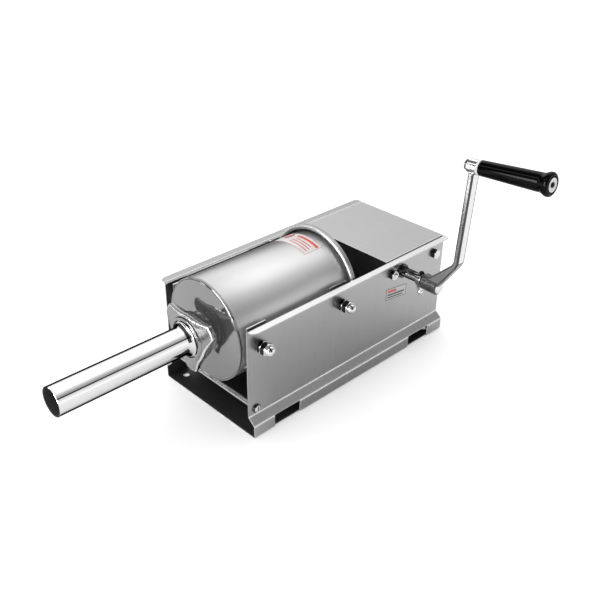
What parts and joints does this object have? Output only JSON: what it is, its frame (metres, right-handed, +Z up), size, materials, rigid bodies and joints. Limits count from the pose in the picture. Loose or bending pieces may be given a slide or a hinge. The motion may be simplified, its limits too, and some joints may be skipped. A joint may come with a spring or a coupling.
{
  "type": "sausage stuffer",
  "caption": "Horizontal hand-cranked sausage stuffer: a rack and reduction gears drive a piston along a steel barrel in an open bench-top chassis.",
  "frame": {"origin": "middle of the chassis floor's underside, on the bench top", "axes": "+X along the barrel from the nozzle to the gear housing, -Y towards the operator and the crank, +Z up"},
  "size_m": [0.6201, 0.3881, 0.3377],
  "materials": {
    "brushed_stainless": "brushed",
    "polished_stainless": "fine polish",
    "chrome": "mirror chrome",
    "cast_chrome": "chromed casting, satin",
    "gear_steel": "machined, oiled",
    "bronze": "machined",
    "black_plastic": "gloss",
    "white_plastic": "satin",
    "food_rubber": "matt"
  },
  "bodies": {
    "chassis": {"acorn_nut_front_far": "chrome", "acorn_nut_front_near": "chrome", "acorn_nut_rear_far": "chrome", "acorn_nut_rear_near": "chrome", "barrel_front": "polished_stainless", "barrel_rim": "polished_stainless", "barrel_tube": "polished_stainless", "chassis": "brushed_stainless", "crank_bush": "gear_steel", "crank_bush_inner": "bronze", "gear_bolt_front": "chrome", "gear_bolt_rear": "chrome", "gear_cover": "brushed_stainless", "gear_nut_front": "chrome", "gear_nut_rear": "chrome", "gear_plate_far": "brushed_stainless", "gear_plate_near": "brushed_stainless", "jam_nut_front_far": "chrome", "jam_nut_front_near": "chrome", "jam_nut_rear_far": "chrome", "jam_nut_rear_near": "chrome", "layshaft_bush_far": "bronze", "layshaft_bush_near": "bronze", "rack_guide": "white_plastic", "rear_panel": "brushed_stainless", "saddle_front_far": "brushed_stainless", "saddle_front_near": "brushed_stainless", "saddle_rear_far": "brushed_stainless", "saddle_rear_near": "brushed_stainless", "spacer_front_far": "brushed_stainless", "spacer_front_near": "brushed_stainless", "spacer_rear_far": "brushed_stainless", "spacer_rear_near": "brushed_stainless", "tie_rod": "brushed_stainless", "tie_screw_far": "brushed_stainless", "tie_screw_near": "brushed_stainless"},
    "nozzle": {"nozzle": "chrome", "nozzle_gasket": "food_rubber"},
    "ring_nut": {"ring_nut": "cast_chrome"},
    "drive": {"crank_shaft": "chrome", "drive_pinion": "gear_steel"},
    "layshaft": {"layshaft": "gear_steel", "main_gear": "gear_steel", "rack_pinion": "gear_steel"},
    "piston": {"rack": "gear_steel", "piston_disc": "polished_stainless", "piston_seal": "food_rubber", "piston_bolt": "brushed_stainless"},
    "air_valve": {"air_valve": "brushed_stainless", "air_valve_nut": "brushed_stainless"},
    "crank": {"crank_collar": "chrome", "crank_arm": "cast_chrome", "lock_nut": "chrome", "collar_set_screw": "black_plastic", "grip_spindle": "brushed_stainless", "spindle_nut": "chrome", "grip_end_disc": "white_plastic", "grip_ferrule": "white_plastic"},
    "lock_screw": {"lock_screw": "chrome"},
    "grip": {"grip": "black_plastic"}
  },
  "joints": [
    {"name": "crank_turn", "type": "hinge", "parent": "chassis", "child": "drive", "pos_m": [0.0984, -0.0814, 0.131], "axis": [0, 1, 0], "range_deg": [-1440, 720]},
    {"name": "layshaft_turn", "type": "hinge", "parent": "chassis", "child": "layshaft", "pos_m": [0.13361, 0, 0.0955], "axis": [0, 1, 0], "range_deg": [-281, 561]},
    {"name": "piston_travel", "type": "slide", "parent": "chassis", "child": "piston", "axis": [-1, 0, 0], "range_m": [-0.1369, 0.0685]},
    {"name": "air_valve_lift", "type": "slide", "parent": "piston", "child": "air_valve", "axis": [-1, 0, 0], "range_m": [0, 0.002], "stiffness_N_per_m": 200},
    {"name": "crank_removal", "type": "slide", "parent": "drive", "child": "crank", "axis": [0, -1, 0], "range_m": [0, 0.035]},
    {"name": "lock_screw_turn", "type": "hinge", "parent": "crank", "child": "lock_screw", "pos_m": [0.0984, -0.1149, 0.113], "axis": [0, 0, -1], "range_deg": [0, 720]},
    {"name": "grip_spin", "type": "hinge", "parent": "crank", "child": "grip", "pos_m": [0.0984, -0.177, 0.3145], "axis": [0, -0.9968, 0.0802], "continuous": true},
    {"name": "nozzle_removal", "type": "slide", "parent": "chassis", "child": "nozzle", "axis": [-1, 0, 0], "range_m": [0, 0.12]},
    {"name": "ring_nut_turn", "type": "hinge", "parent": "nozzle", "child": "ring_nut", "pos_m": [-0.2122, 0, 0.1208], "axis": [-1, 0, 0], "range_deg": [0, 1080]}
  ],
  "couplings": [
    {"joint": "layshaft_turn", "follows": "crank_turn", "ratio": -0.38889},
    {"joint": "piston_travel", "follows": "crank_turn", "m_per_rad": 0.0054444}
  ]
}
